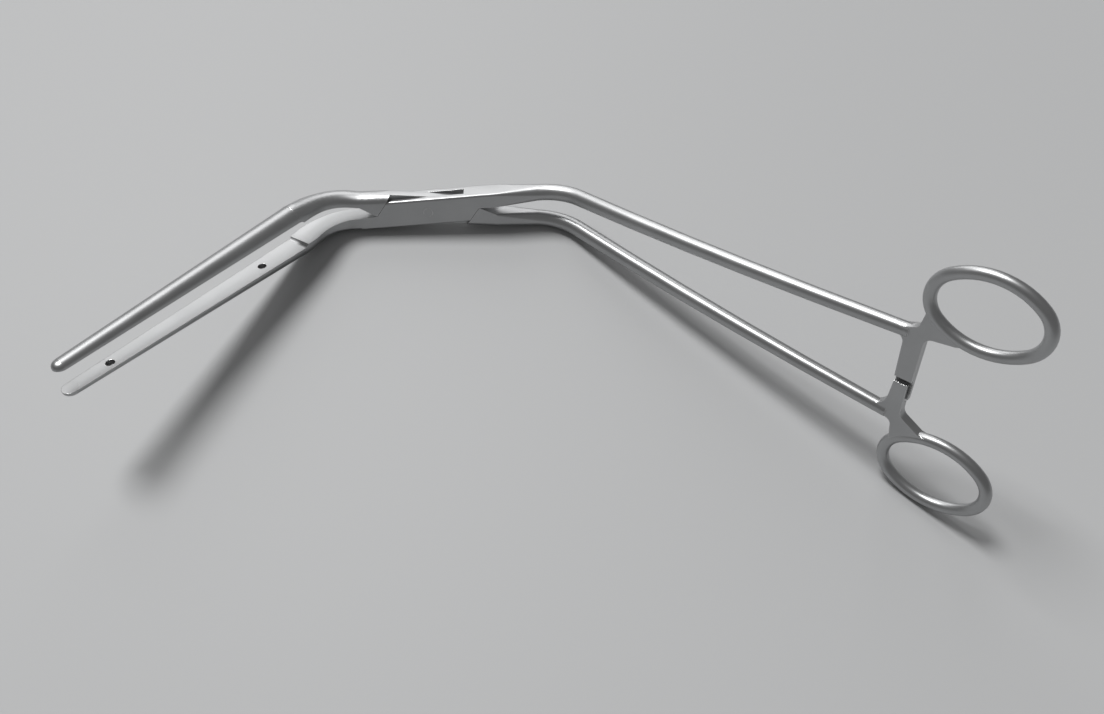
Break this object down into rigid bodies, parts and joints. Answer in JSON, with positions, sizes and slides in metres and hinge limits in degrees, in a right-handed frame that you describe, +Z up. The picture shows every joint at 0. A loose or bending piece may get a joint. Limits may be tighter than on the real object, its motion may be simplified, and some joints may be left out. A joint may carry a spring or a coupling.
{
  "type": "aortic clamp",
  "caption": "Large angled surgical clamp: bent shanks with finger rings and a ratchet, a box lock, and long offset jaws with peg holes for inserts.",
  "frame": {"origin": "on the table, under the middle of the outline of the closed clamp as it lies at rest", "axes": "+X runs along the box lock towards the finger rings, +Z is up from the table and +Y is level, away from the side to which both ends bend"},
  "size_m": [0.2689, 0.126, 0.0834],
  "materials": {
    "satin_steel": "fine satin, glass-beaded on the jaw seats"
  },
  "bodies": {
    "male": {"male_half": "satin_steel"},
    "box": {"box_half": "satin_steel", "pivot_pin": "satin_steel"}
  },
  "joints": [
    {"name": "box_lock", "type": "hinge", "parent": "male", "child": "box", "pos_m": [-0.03358, 0.05756, 0.00781], "axis": [-0.0007, -0.9462, 0.3237], "range_deg": [0, 30]}
  ]
}
